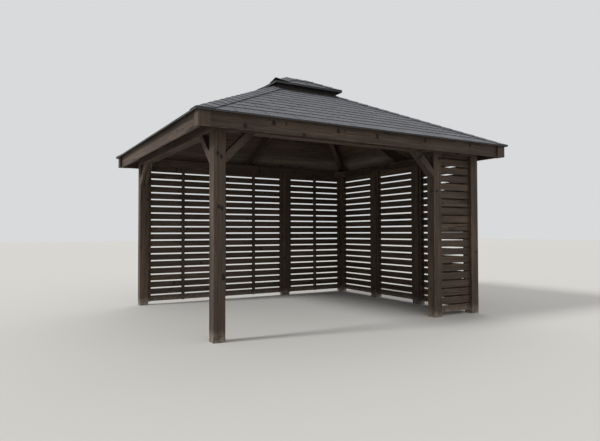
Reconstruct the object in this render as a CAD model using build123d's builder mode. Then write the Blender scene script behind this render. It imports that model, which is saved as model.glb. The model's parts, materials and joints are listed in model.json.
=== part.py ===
"""Garden gazebo: a post and plate timber frame under a hipped shingle roof with a small raised cap.

The front and the left side are open. The back and the right side are closed by slatted panels between
the posts, and a short slatted return panel stands at the right end of the front.
Origin: middle of the footprint on the ground. +X runs right along the front, -Y is the front, +Z is up.
Lengths are in millimetres.
"""
import os
from math import floor, sqrt

from build123d import *

os.makedirs("parts", exist_ok=True)

# Timber frame
frame_length = 3600.0  # over the corner posts, along the front
frame_depth = 3040.0  # over the corner posts, front to back
post_size = 120.0
post_height = 2010.0
return_width = 527.0  # clear, between the two posts at the right end of the front
bays_per_wall = 3
plate_width = 120.0
plate_height = 100.0

# Knee braces
brace_leg = 310.0  # from the corner of post and plate to the lower edge of the brace
brace_depth = 70.0
brace_thickness = 100.0

# Corner blocks
corner_leg = 125.0  # along each plate
corner_drop = 10.0  # of the block below the tops of the plates, and above their undersides

# Slatted panels
slat_height = 80.0
slat_thickness = 20.0
slat_gap = 19.0  # least gap in the long walls, where the row is spread evenly over the height
return_slat_gap = 21.2  # in the return panel, whose top slat is ripped down to fit
narrowest_slat = 20.0
panel_ground_clearance = 45.0
panel_recess = 40.0  # from the outer faces of the posts to the slats
batten_width = 40.0
batten_depth = 40.0

# Roof frame
roof_rise = 0.5  # rise for each unit of run, the same on all four slopes
eave_overhang = 265.0  # from the outer faces of the posts to the edge of the shingles
rafter_width = 60.0
rafter_depth = 140.0
birdsmouth_depth = 23.0
hip_width = 80.0
hip_depth = 140.0
hub_across_flats = 200.0
hub_drop = 20.0  # of the hub below the side rafters
ridge_thickness = 50.0
ridge_depth = 175.0

# Roof covering
board_thickness = 20.0
shingle_thickness = 6.0
strip_wing = 125.0  # of a hip strip, to each side of the hip
strip_thickness = 5.0

# Eaves
fascia_setback = 58.0  # from the edge of the shingles to the face of the fascia
fascia_thickness = 22.0
fascia_height = 172.0
trim_thickness = 28.0
trim_width = 120.0

# Raised cap
neck_end_reach = 173.0  # from the end of the ridge to the outside of the end boards
neck_side_reach = 268.0  # from the ridge to the outside of the long boards
neck_board = 20.0  # thickness
neck_rise = 83.5  # of the long neck boards above the shingles
cap_overhang = 60.0
cap_board = 18.0
cap_shingle_overhang = 10.0  # of the cap's shingles past its boards

# Values that follow from the sizes
half_length = frame_length / 2
half_depth = frame_depth / 2
eave_x = half_length + eave_overhang
eave_y = half_depth + eave_overhang
roof_run = min(eave_x, eave_y)
ridge_x = eave_x - roof_run
ridge_y = eave_y - roof_run
ridge_half = max(ridge_x, ridge_y)
plate_top = post_height + plate_height
slope_factor = sqrt(1 + roof_rise**2)
rafter_plumb = rafter_depth * slope_factor
hip_rise = roof_rise / sqrt(2)
hip_plumb = hip_depth * sqrt(1 + hip_rise**2)
board_plumb = board_thickness * slope_factor
shingle_plumb = shingle_thickness * slope_factor
strip_plumb = strip_thickness * slope_factor
edge_under_boards = plate_top - birdsmouth_depth + rafter_plumb - roof_rise * eave_overhang
edge_over_boards = edge_under_boards + board_plumb
edge_over_shingles = edge_over_boards + shingle_plumb
edge_over_strips = edge_over_shingles + strip_plumb
fascia_back = fascia_setback + fascia_thickness
tail_x = eave_x - fascia_back
tail_y = eave_y - fascia_back
fascia_bottom = edge_over_boards + roof_rise * fascia_setback - fascia_height
ridge_top = edge_under_boards + roof_rise * roof_run


def hip_volume(reach_x, reach_y, edge_height, floor_height):
    """Everything under four equal slopes that start at edge_height over a rectangle of half sizes."""
    with BuildPart() as volume:
        with BuildSketch(Plane.YZ):
            with BuildLine():
                Polyline(
                    (-reach_y, floor_height),
                    (reach_y, floor_height),
                    (reach_y, edge_height),
                    (0, edge_height + roof_rise * reach_y),
                    (-reach_y, edge_height),
                    close=True,
                )
            make_face()
        extrude(amount=reach_x, both=True)
        with BuildSketch(Plane.XZ):
            with BuildLine():
                Polyline(
                    (-reach_x, floor_height),
                    (reach_x, floor_height),
                    (reach_x, edge_height),
                    (0, edge_height + roof_rise * reach_x),
                    (-reach_x, edge_height),
                    close=True,
                )
            make_face()
        extrude(amount=reach_y, both=True, mode=Mode.INTERSECT)
    return volume.part


def block(low, high):
    """Plain box between two corners."""
    with BuildPart() as volume:
        with BuildSketch(Plane.XY.offset(low[2])):
            with Locations(((low[0] + high[0]) / 2, (low[1] + high[1]) / 2)):
                Rectangle(high[0] - low[0], high[1] - low[1])
        extrude(amount=high[2] - low[2])
    return volume.part


def in_plan(along, across):
    """X and Y of a length along the ridge and one across it. The ridge lies along the longer side."""
    return (along, across) if ridge_x >= ridge_y else (across, along)


def section_plane(outward):
    """Upright plane through the middle, its first axis pointing out over the eave."""
    return Plane(
        origin=(0, 0, 0), x_dir=(outward[0], outward[1], 0), z_dir=(outward[1], -outward[0], 0)
    )


under_boards = hip_volume(eave_x, eave_y, edge_under_boards, 0)
under_shingles = hip_volume(eave_x, eave_y, edge_over_boards, 0)
under_shingle_tops = hip_volume(eave_x, eave_y, edge_over_shingles, 0)
under_strip_tops = hip_volume(eave_x, eave_y, edge_over_strips, 0)
frame_block = block((-half_length, -half_depth, 0), (half_length, half_depth, plate_top))
tail_block = block((-tail_x, -tail_y, 0), (tail_x, tail_y, 2 * plate_top))

# Posts
bay_x = (frame_length - post_size) / bays_per_wall
bay_y = (frame_depth - post_size) / bays_per_wall
post_reach_x = half_length - post_size / 2
post_reach_y = half_depth - post_size / 2
return_post_x = half_length - post_size - return_width - post_size / 2
post_places = {
    "post_front_left": (-post_reach_x, -post_reach_y),
    "post_front_return": (return_post_x, -post_reach_y),
    "post_front_right": (post_reach_x, -post_reach_y),
    "post_back_left": (-post_reach_x, post_reach_y),
    "post_back_right": (post_reach_x, post_reach_y),
}
for bay in range(1, bays_per_wall):
    post_places["post_back_" + str(bay)] = (-post_reach_x + bay * bay_x, post_reach_y)
    post_places["post_right_" + str(bay)] = (post_reach_x, -post_reach_y + bay * bay_y)

for node, place in post_places.items():
    with BuildPart() as post:
        with BuildSketch(Plane.XY):
            with Locations(place):
                Rectangle(post_size, post_size)
        extrude(amount=post_height)
    post.part.label = node
    export_step(post.part, "parts/" + node + ".step")

# Wall plates, the long ones run through and the short ones butt between them
for node, side in (("plate_front", -1), ("plate_back", 1)):
    with BuildPart() as plate:
        with BuildSketch(Plane.XY.offset(post_height)):
            with Locations((0, side * (half_depth - plate_width / 2))):
                Rectangle(frame_length, plate_width)
        extrude(amount=plate_height)
    plate.part.label = node
    export_step(plate.part, "parts/" + node + ".step")

for node, side in (("plate_left", -1), ("plate_right", 1)):
    with BuildPart() as plate:
        with BuildSketch(Plane.XY.offset(post_height)):
            with Locations((side * (half_length - plate_width / 2), 0)):
                Rectangle(plate_width, frame_depth - 2 * plate_width)
        extrude(amount=plate_height)
    plate.part.label = node
    export_step(plate.part, "parts/" + node + ".step")

# Three cornered blocks that tie the plates together under the hip rafters
with BuildPart() as corner_blocks:
    with BuildSketch(Plane.XY.offset(post_height + corner_drop)):
        for side_x in (-1, 1):
            for side_y in (-1, 1):
                inner_x = side_x * (half_length - plate_width)
                inner_y = side_y * (half_depth - plate_width)
                with BuildLine():
                    Polyline(
                        (inner_x, inner_y),
                        (inner_x - side_x * corner_leg, inner_y),
                        (inner_x, inner_y - side_y * corner_leg),
                        close=True,
                    )
                make_face()
    extrude(amount=plate_height - 2 * corner_drop)
corner_blocks.part.label = "corner_blocks"
export_step(corner_blocks.part, "parts/corner_blocks.step")

# Knee braces at 45 degrees, flush with the outer faces of the frame
brace_upper_leg = brace_leg - brace_depth * sqrt(2)
front_face = Plane(origin=(0, -half_depth, 0), x_dir=(1, 0, 0), z_dir=(0, -1, 0))
left_face = Plane(origin=(-half_length, 0, 0), x_dir=(0, -1, 0), z_dir=(-1, 0, 0))
post_inner_y = half_depth - post_size
brace_places = (
    (front_face, -half_length + post_size, 1),
    (front_face, return_post_x - post_size / 2, -1),
    (left_face, post_inner_y, -1),
    (left_face, -post_inner_y, 1),
)
with BuildPart() as knee_braces:
    for face, start, way in brace_places:
        with BuildSketch(face):
            with BuildLine():
                Polyline(
                    (start, post_height - brace_leg),
                    (start + way * brace_leg, post_height),
                    (start + way * brace_upper_leg, post_height),
                    (start, post_height - brace_upper_leg),
                    close=True,
                )
            make_face()
        extrude(amount=-brace_thickness)
knee_braces.part.label = "knee_braces"
export_step(knee_braces.part, "parts/knee_braces.step")


# Slatted panels
panel_height = post_height - panel_ground_clearance
slat_count = floor((panel_height + slat_gap) / (slat_height + slat_gap))
slat_pitch = (panel_height - slat_height) / (slat_count - 1)
return_slat_pitch = slat_height + return_slat_gap
return_slat_count = floor((panel_height - narrowest_slat) / return_slat_pitch) + 1


def slatted_panel(face, start, width, middle_batten, count, pitch):
    """Slats on the outside of upright battens, drawn on the outer face of a wall."""
    batten_centres = [start + batten_width / 2, start + width - batten_width / 2]
    if middle_batten:
        batten_centres.append(start + width / 2)
    with BuildPart() as panel:
        with BuildSketch(face.offset(-panel_recess)):
            for row in range(count):
                low = panel_ground_clearance + row * pitch
                high = min(low + slat_height, post_height)
                with Locations((start + width / 2, (low + high) / 2)):
                    Rectangle(width, high - low)
        extrude(amount=-slat_thickness)
        with BuildSketch(face.offset(-panel_recess - slat_thickness)):
            for centre in batten_centres:
                with Locations((centre, panel_ground_clearance + panel_height / 2)):
                    Rectangle(batten_width, panel_height)
        extrude(amount=-batten_depth)
    return panel.part


back_face = Plane(origin=(0, half_depth, 0), x_dir=(-1, 0, 0), z_dir=(0, 1, 0))
right_face = Plane(origin=(half_length, 0, 0), x_dir=(0, 1, 0), z_dir=(1, 0, 0))
for bay in range(bays_per_wall):
    node = "panel_back_" + str(bay + 1)
    back_panel = slatted_panel(
        back_face, half_length - (bay + 1) * bay_x, bay_x - post_size, True, slat_count, slat_pitch
    )
    back_panel.label = node
    export_step(back_panel, "parts/" + node + ".step")
    node = "panel_right_" + str(bay + 1)
    side_panel = slatted_panel(
        right_face, -half_depth + post_size + bay * bay_y, bay_y - post_size, False, slat_count, slat_pitch
    )
    side_panel.label = node
    export_step(side_panel, "parts/" + node + ".step")

return_start = return_post_x + post_size / 2
return_panel = slatted_panel(
    front_face, return_start, return_width, False, return_slat_count, return_slat_pitch
)
return_panel.label = "panel_front_return"
export_step(return_panel, "parts/panel_front_return.step")

# Ridge board, let into the hubs and flush with their outer flats
with BuildPart() as ridge_board:
    with BuildSketch(Plane.XY.offset(ridge_top - ridge_depth)):
        Rectangle(*in_plan(2 * ridge_half + hub_across_flats, ridge_thickness))
    extrude(amount=ridge_depth)
    add(under_boards, mode=Mode.INTERSECT)
ridge_board.part.label = "ridge_board"
export_step(ridge_board.part, "parts/ridge_board.step")

# Hubs under the ends of the ridge, eight sided, with a flat for each rafter that meets them
hub_bottom = (
    edge_under_boards + roof_rise * (roof_run - hub_across_flats / 2) - rafter_plumb - hub_drop
)
with BuildPart() as hub_blocks:
    with BuildSketch(Plane.XY.offset(hub_bottom)):
        with Locations((-ridge_x, -ridge_y), (ridge_x, ridge_y)):
            RegularPolygon(hub_across_flats / 2, 8, major_radius=False, rotation=22.5)
    extrude(amount=ridge_top - hub_bottom)
    add(under_boards, mode=Mode.INTERSECT)
with BuildPart() as ridge_hubs:
    add(hub_blocks.part)
    add(ridge_board.part, mode=Mode.SUBTRACT)
ridge_hubs.part.label = "ridge_hubs"
export_step(ridge_hubs.part, "parts/ridge_hubs.step")

# Common rafters, one in the middle of each slope
rafter_runs = (
    ((0, -1), eave_y, ridge_y),
    ((1, 0), eave_x, ridge_x),
    ((0, 1), eave_y, ridge_y),
    ((-1, 0), eave_x, ridge_x),
)
with BuildPart() as common_rafters:
    for outward, reach, stop in rafter_runs:
        low = edge_under_boards + roof_rise * fascia_back
        high = edge_under_boards + roof_rise * (reach - stop)
        with BuildSketch(section_plane(outward)):
            with BuildLine():
                Polyline(
                    (reach - fascia_back, low),
                    (stop, high),
                    (stop, high - rafter_plumb),
                    (reach - fascia_back, low - rafter_plumb),
                    close=True,
                )
            make_face()
        extrude(amount=rafter_width / 2, both=True)
    add(under_boards, mode=Mode.INTERSECT)
    add(frame_block, mode=Mode.SUBTRACT)
    add(hub_blocks.part, mode=Mode.SUBTRACT)
    add(ridge_board.part, mode=Mode.SUBTRACT)
common_rafters.part.label = "common_rafters"
export_step(common_rafters.part, "parts/common_rafters.step")

# Hip rafters, from the corners of the eaves to the hubs, bevelled on top to both slopes
hip_run = roof_run * sqrt(2)
with BuildPart() as hip_rafters:
    for side_x, side_y in ((-1, -1), (1, -1), (1, 1), (-1, 1)):
        hip_plane = Plane(
            origin=(side_x * eave_x, side_y * eave_y, 0),
            x_dir=(-side_x, -side_y, 0),
            z_dir=(-side_y, side_x, 0),
        )
        with BuildSketch(hip_plane):
            with BuildLine():
                Polyline(
                    (0, edge_under_boards - hip_plumb),
                    (hip_run, edge_under_boards + hip_rise * hip_run - hip_plumb),
                    (hip_run, edge_under_boards + hip_rise * hip_run),
                    (0, edge_under_boards),
                    close=True,
                )
            make_face()
        extrude(amount=hip_width / 2, both=True)
    add(under_boards, mode=Mode.INTERSECT)
    add(tail_block, mode=Mode.INTERSECT)
    add(frame_block, mode=Mode.SUBTRACT)
    add(hub_blocks.part, mode=Mode.SUBTRACT)
hip_rafters.part.label = "hip_rafters"
export_step(hip_rafters.part, "parts/hip_rafters.step")


# Roof boards and shingles, one sloping sheet on each side, meeting on the hips and the ridge
def slope_sheet(outward, inset, underside, thickness):
    """Sloping sheet from the eave to the ridge on one side, cut to the hips."""
    on_end = outward[1] == 0
    reach = eave_x if on_end else eave_y
    width = eave_y if on_end else eave_x
    top = ridge_x if on_end else ridge_y
    top_width = ridge_y if on_end else ridge_x
    low = underside + roof_rise * inset
    high = underside + roof_rise * (reach - top)
    corners = [(reach, -width), (reach, width), (top, top_width)]
    if top_width > 0:
        corners.append((top, -top_width))
    with BuildPart() as sheet:
        with BuildSketch(section_plane(outward)):
            with BuildLine():
                Polyline(
                    (reach - inset, low),
                    (top, high),
                    (top, high + thickness),
                    (reach - inset, low + thickness),
                    close=True,
                )
            make_face()
        extrude(amount=width, both=True)
        with BuildSketch(Plane(origin=(0, 0, 0), x_dir=(outward[0], outward[1], 0), z_dir=(0, 0, 1))):
            with BuildLine():
                Polyline(*corners, close=True)
            make_face()
        extrude(amount=2 * high, mode=Mode.INTERSECT)
    return sheet.part


slopes = {"front": (0, -1), "right": (1, 0), "back": (0, 1), "left": (-1, 0)}
for side, outward in slopes.items():
    boards = slope_sheet(outward, fascia_back, edge_under_boards, board_plumb)
    boards.label = "roof_boards_" + side
    export_step(boards, "parts/roof_boards_" + side + ".step")
    shingles = slope_sheet(outward, 0, edge_over_boards, shingle_plumb)
    shingles.label = "shingles_" + side
    export_step(shingles, "parts/shingles_" + side + ".step")

# Raised cap: neck boards on the shingles, then boards and shingles of their own
neck_half = ridge_half + neck_end_reach
neck_x, neck_y = in_plan(neck_half, neck_side_reach)
neck_foot = edge_over_shingles + roof_rise * (roof_run - max(neck_end_reach, neck_side_reach))
cap_x = neck_x + cap_overhang
cap_y = neck_y + cap_overhang
cap_board_plumb = cap_board * slope_factor
cap_edge_under = neck_foot + neck_rise - roof_rise * cap_overhang
cap_edge_boards = cap_edge_under + cap_board_plumb
cap_edge_shingles = cap_edge_boards + shingle_plumb
under_cap = hip_volume(cap_x, cap_y, cap_edge_under, 0)
neck_block = block((-neck_x, -neck_y, 0), (neck_x, neck_y, 2 * plate_top))

with BuildPart() as neck_long_boards:
    with BuildSketch(Plane.XY):
        for side in (-1, 1):
            with Locations(in_plan(0, side * (neck_side_reach - neck_board / 2))):
                Rectangle(*in_plan(2 * neck_half, neck_board))
    extrude(amount=2 * plate_top)
    add(under_cap, mode=Mode.INTERSECT)
    add(under_shingle_tops, mode=Mode.SUBTRACT)
neck_long_boards.part.label = "neck_long_boards"
export_step(neck_long_boards.part, "parts/neck_long_boards.step")

with BuildPart() as neck_end_boards:
    with BuildSketch(Plane.XY):
        for side in (-1, 1):
            with Locations(in_plan(side * (neck_half - neck_board / 2), 0)):
                Rectangle(*in_plan(neck_board, 2 * (neck_side_reach - neck_board)))
    extrude(amount=2 * plate_top)
    add(under_cap, mode=Mode.INTERSECT)
    add(under_shingle_tops, mode=Mode.SUBTRACT)
neck_end_boards.part.label = "neck_end_boards"
export_step(neck_end_boards.part, "parts/neck_end_boards.step")

cap_inner_x = cap_x - cap_shingle_overhang
cap_inner_y = cap_y - cap_shingle_overhang
cap_lift = roof_rise * cap_shingle_overhang
cap_boards_top = hip_volume(
    cap_inner_x, cap_inner_y, cap_edge_boards + cap_lift, cap_edge_under
)
with BuildPart() as cap_boards:
    add(cap_boards_top)
    add(under_cap, mode=Mode.SUBTRACT)
cap_boards.part.label = "cap_boards"
export_step(cap_boards.part, "parts/cap_boards.step")

under_cap_boards = hip_volume(cap_x, cap_y, cap_edge_boards, 0)
cap_shingles_top = hip_volume(cap_x, cap_y, cap_edge_shingles, cap_edge_under)
with BuildPart() as cap_shingles:
    add(cap_shingles_top)
    add(under_cap_boards, mode=Mode.SUBTRACT)
cap_shingles.part.label = "cap_shingles"
export_step(cap_shingles.part, "parts/cap_shingles.step")


# Shingle strips folded over the hips and the cap's ridge
plan_wing = strip_wing * sqrt((1 + hip_rise**2) / (1 + roof_rise**2))


def hip_bands(reach_x, reach_y, height):
    """Upright slabs along the four hips, as wide in plan as a folded strip."""
    run = min(reach_x, reach_y)
    with BuildPart() as bands:
        with BuildSketch(Plane.XY):
            for side_x, side_y in ((-1, -1), (1, -1), (1, 1), (-1, 1)):
                along = Plane(
                    origin=(side_x * reach_x, side_y * reach_y, 0),
                    x_dir=(-side_x, -side_y, 0),
                    z_dir=(0, 0, 1),
                )
                with Locations(along * Location((run / sqrt(2), 0, 0))):
                    Rectangle(run * sqrt(2), 2 * plan_wing)
        extrude(amount=height)
    return bands.part


main_bands = hip_bands(eave_x, eave_y, 2 * plate_top)
with BuildPart() as hip_strips:
    add(main_bands)
    add(under_strip_tops, mode=Mode.INTERSECT)
    add(under_shingle_tops, mode=Mode.SUBTRACT)
    add(neck_block, mode=Mode.SUBTRACT)
hip_strips.part.label = "hip_strips"
export_step(hip_strips.part, "parts/hip_strips.step")

cap_run = min(cap_x, cap_y)
cap_ridge_x = cap_x - cap_run
cap_ridge_y = cap_y - cap_run
ridge_wing = strip_wing / slope_factor
under_cap_shingles = hip_volume(cap_x, cap_y, cap_edge_shingles, 0)
under_cap_strips = hip_volume(cap_x, cap_y, cap_edge_shingles + strip_plumb, 0)
cap_bands = hip_bands(cap_x, cap_y, 2 * plate_top)
with BuildPart() as cap_strips:
    add(cap_bands)
    with BuildSketch(Plane.XY):
        Rectangle(2 * max(cap_ridge_x, ridge_wing), 2 * max(cap_ridge_y, ridge_wing))
    extrude(amount=2 * plate_top)
    add(under_cap_strips, mode=Mode.INTERSECT)
    add(under_cap_shingles, mode=Mode.SUBTRACT)
cap_strips.part.label = "cap_strips"
export_step(cap_strips.part, "parts/cap_strips.step")

# Fascia boards, bevelled on top under the shingles. They cover the edges of the roof boards, and the
# long ones run through
fascia_x = eave_x - fascia_setback
fascia_y = eave_y - fascia_setback
for node, side in (("fascia_front", -1), ("fascia_back", 1)):
    with BuildPart() as fascia:
        with BuildSketch(Plane.XY.offset(fascia_bottom)):
            with Locations((0, side * (fascia_y - fascia_thickness / 2))):
                Rectangle(2 * fascia_x, fascia_thickness)
        extrude(amount=2 * fascia_height)
        add(under_shingles, mode=Mode.INTERSECT)
    fascia.part.label = node
    export_step(fascia.part, "parts/" + node + ".step")

for node, side in (("fascia_left", -1), ("fascia_right", 1)):
    with BuildPart() as fascia:
        with BuildSketch(Plane.XY.offset(fascia_bottom)):
            with Locations((side * (fascia_x - fascia_thickness / 2), 0)):
                Rectangle(fascia_thickness, 2 * (fascia_y - fascia_thickness))
        extrude(amount=2 * fascia_height)
        add(under_shingles, mode=Mode.INTERSECT)
    fascia.part.label = node
    export_step(fascia.part, "parts/" + node + ".step")

# Corner trims: two boards wrapped round each corner of the fascia
trim_x = fascia_x + trim_thickness
trim_y = fascia_y + trim_thickness
with BuildPart() as corner_trims:
    with BuildSketch(Plane.XY.offset(fascia_bottom)):
        for side_x in (-1, 1):
            for side_y in (-1, 1):
                with Locations(
                    (side_x * (trim_x - trim_width / 2), side_y * (trim_y - trim_thickness / 2))
                ):
                    Rectangle(trim_width, trim_thickness)
                with Locations(
                    (side_x * (trim_x - trim_thickness / 2), side_y * (trim_y - trim_width / 2))
                ):
                    Rectangle(trim_thickness, trim_width)
    extrude(amount=2 * fascia_height)
    add(under_shingles, mode=Mode.INTERSECT)
corner_trims.part.label = "corner_trims"
export_step(corner_trims.part, "parts/corner_trims.step")

print("slats", slat_count, "pitch", round(slat_pitch, 2))
print("return slats", return_slat_count, "pitch", round(return_slat_pitch, 2))
print("eave edge", round(edge_over_shingles, 1), "fascia", round(fascia_bottom, 1))
print("cap edge", round(cap_edge_shingles, 1), "top", round(cap_edge_shingles + roof_rise * cap_run + strip_plumb, 1))
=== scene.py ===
"""Garden gazebo: stained timber frame, slatted panels and a felt shingle roof, on a plain stage.

Lengths are in metres. X runs right along the front, Y runs to the back and Z is up.
"""
import functools
import json
import math
import random

import bmesh
import bpy
from bpy.props import FloatProperty, FloatVectorProperty, IntProperty, PointerProperty
from mathutils import Matrix, Vector


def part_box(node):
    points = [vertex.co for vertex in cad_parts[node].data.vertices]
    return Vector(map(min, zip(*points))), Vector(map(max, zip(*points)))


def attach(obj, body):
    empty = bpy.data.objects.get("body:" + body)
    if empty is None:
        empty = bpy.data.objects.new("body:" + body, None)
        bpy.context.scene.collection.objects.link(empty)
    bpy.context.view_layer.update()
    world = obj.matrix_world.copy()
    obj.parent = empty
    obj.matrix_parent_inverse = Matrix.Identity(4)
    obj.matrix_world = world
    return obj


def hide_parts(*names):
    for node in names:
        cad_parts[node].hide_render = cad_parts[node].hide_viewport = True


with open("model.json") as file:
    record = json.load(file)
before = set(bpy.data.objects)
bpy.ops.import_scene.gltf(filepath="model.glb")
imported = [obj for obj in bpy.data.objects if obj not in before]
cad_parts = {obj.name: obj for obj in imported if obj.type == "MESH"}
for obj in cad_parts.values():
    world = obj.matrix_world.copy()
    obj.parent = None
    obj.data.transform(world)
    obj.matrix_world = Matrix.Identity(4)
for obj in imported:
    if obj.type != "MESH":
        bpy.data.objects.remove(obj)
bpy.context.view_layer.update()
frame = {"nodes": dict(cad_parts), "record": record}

bl_info = {
    "name": "Garden gazebo",
    "version": (1, 0, 0),
    "blender": (4, 5, 0),
    "location": "3D View > Sidebar > Gazebo",
    "description": "Dresses a hip roofed garden gazebo with stained timber and felt shingles",
    "category": "Object",
}

SLOT_OF_NODE = {part["node"]: part["material_slot"] for part in frame["record"]["subparts"]}
SIDES = {"front": (0, -1), "right": (1, 0), "back": (0, 1), "left": (-1, 0)}
HIPS = (("front", "left"), ("front", "right"), ("back", "right"), ("back", "left"))
# Rise of the roof and length of a hip for each metre of run, and the run's share of a slope's length
RISE = 0.5
HIP_LENGTH = math.sqrt(2 + RISE**2)
RUN_SHARE = 1 / math.sqrt(1 + RISE**2)
UP = Vector((0, 0, 1))


def nodes_of(*starts):
    """The CAD nodes whose names start that way."""
    return [node for node in frame["nodes"] if node.startswith(starts)]


def linear(code):
    """Linear red, green and blue of an sRGB hex colour."""
    parts = [int(code[i : i + 2], 16) / 255 for i in (1, 3, 5)]
    return tuple(c / 12.92 if c <= 0.04045 else ((c + 0.055) / 1.055) ** 2.4 for c in parts)


# Settings


def length_field(name, description, default):
    """A length in metres, for the sidebar."""
    return FloatProperty(name=name, description=description, default=default, unit="LENGTH")


def angle_field(name, description, default):
    """An angle in radians, for the sidebar."""
    return FloatProperty(name=name, description=description, default=default, unit="ROTATION")


def colour_field(name, description, code):
    """A colour for the sidebar, given as sRGB hex."""
    return FloatVectorProperty(name=name, description=description, default=linear(code), subtype="COLOR")


class TimberSettings(bpy.types.PropertyGroup):
    arris: length_field("Arris", "Rounding along the edges of planed timber", 0.003)
    ring_spacing: length_field("Ring spacing", "Distance between the bands of the grain", 0.011)
    stain_dark: colour_field("Dark stain", "Hard latewood", "#231B15")
    stain_mid: colour_field("Stain", "Main colour of the stained wood", "#3F332A")
    stain_light: colour_field("Light stain", "Earlywood that took less stain", "#5D4D3F")
    knot: colour_field("Knots", "Hearts of the knots", "#100B08")
    worn_wood: colour_field("Worn wood", "Arrises where the stain has rubbed thin", "#796857")
    dust: colour_field("Dust", "Dust splashed on the feet of the posts", "#9A9184")


class PanelSettings(bpy.types.PropertyGroup):
    slats: IntProperty(name="Slats", description="Slats in each panel", default=20)
    slat_height: length_field("Slat height", "Height of one slat", 0.080)
    slat_thickness: length_field("Slat thickness", "Thickness of one slat", 0.020)
    return_gap: length_field("Return gap", "Gap between the slats of the return panel", 0.0212)
    batten_width: length_field("Batten width", "Width of the upright battens", 0.040)
    screw_radius: length_field("Screw radius", "Radius of a screw head", 0.0042)
    zinc: colour_field("Zinc", "Browned zinc on the screw heads", "#6B655C")


class RoofSettings(bpy.types.PropertyGroup):
    first_course: length_field("First course", "Exposed length of the course at the eaves", 0.190)
    exposure: length_field("Exposure", "Exposed length of the other courses", 0.1455)
    tab_width: length_field("Tab width", "Distance between the slots of a shingle", 0.333)
    slot_width: length_field("Slot width", "Width of the slot between tabs", 0.008)
    step: length_field("Step", "Step at the lower edge of a course", 0.0045)
    wing: length_field("Wing", "Width of a folded shingle to each side of its fold", 0.125)
    curl: length_field("Curl", "Rise of the loose shingle at the cap's front left corner", 0.024)
    board_face: length_field("Board face", "Face width of a roof board", 0.121)
    lip: length_field("Lip", "Turned down edge of the drip edge at the eaves", 0.008)
    cap_lip: length_field("Cap lip", "Turned down edge of the drip edge round the cap", 0.019)
    granules_dark: colour_field("Dark granules", "Darkest mineral granules", "#3E3F43")
    granules_mid: colour_field("Granules", "Main colour of the granules", "#63646A")
    granules_light: colour_field("Light granules", "Palest mineral granules", "#8B8C92")
    felt: colour_field("Felt edge", "Cut edge of the bitumen felt", "#232325")
    steel: colour_field("Drip edge", "Coating of the steel drip edge", "#1B1C1F")


class StageSettings(bpy.types.PropertyGroup):
    camera_place: FloatVectorProperty(
        name="Camera", description="Place of the camera", default=(-3.534, -6.089, 1.038), unit="LENGTH"
    )
    camera_heading: angle_field("Heading", "Turn of the camera to the right", 0.5292)
    camera_pitch: angle_field("Pitch", "Tilt of the camera upwards", 0.0230)
    camera_roll: angle_field("Roll", "Roll of the camera", -0.0024)
    lens: FloatProperty(name="Lens", description="Focal length", default=30.825, unit="CAMERA")
    floor: colour_field("Floor", "Colour of the floor", "#CFCDC8")
    backdrop: colour_field("Backdrop", "Colour behind the object", "#D9DADB")


# Materials


def set_inputs(node, inputs):
    """Sets or links the inputs of a node, in order or by name.

    Only sockets in use count, and a node given to an input stands for its first output in use.
    """
    if isinstance(inputs, dict):
        pairs = [(node.inputs[name], value) for name, value in inputs.items()]
    else:
        pairs = zip([socket for socket in node.inputs if socket.enabled], inputs)
    for socket, value in pairs:
        if isinstance(value, bpy.types.Node):
            value = next(output for output in value.outputs if output.enabled)
        if isinstance(value, bpy.types.NodeSocket):
            node.id_data.links.new(value, socket)
        elif socket.type == "RGBA":
            socket.default_value = (*value, 1)
        else:
            socket.default_value = value


def add_node(tree, kind, inputs=(), **settings):
    """Adds a shader node with its settings and its inputs."""
    node = tree.nodes.new("ShaderNode" + kind)
    for name, value in settings.items():
        setattr(node, name, value)
    set_inputs(node, inputs)
    return node


def new_material(name, roughness, colour=(0.5, 0.5, 0.5), metallic=0.0, specular=0.5):
    """A material of one Principled shader. Returns it, its shader, and add_node for its tree."""
    material = bpy.data.materials.new(name)
    material.use_nodes = True
    material.node_tree.nodes.clear()
    add = functools.partial(add_node, material.node_tree)
    values = {"Base Color": colour, "Roughness": roughness, "Metallic": metallic}
    shader = add("BsdfPrincipled", {**values, "Specular IOR Level": specular})
    add("OutputMaterial", (shader,))
    return material, shader, add


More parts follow.
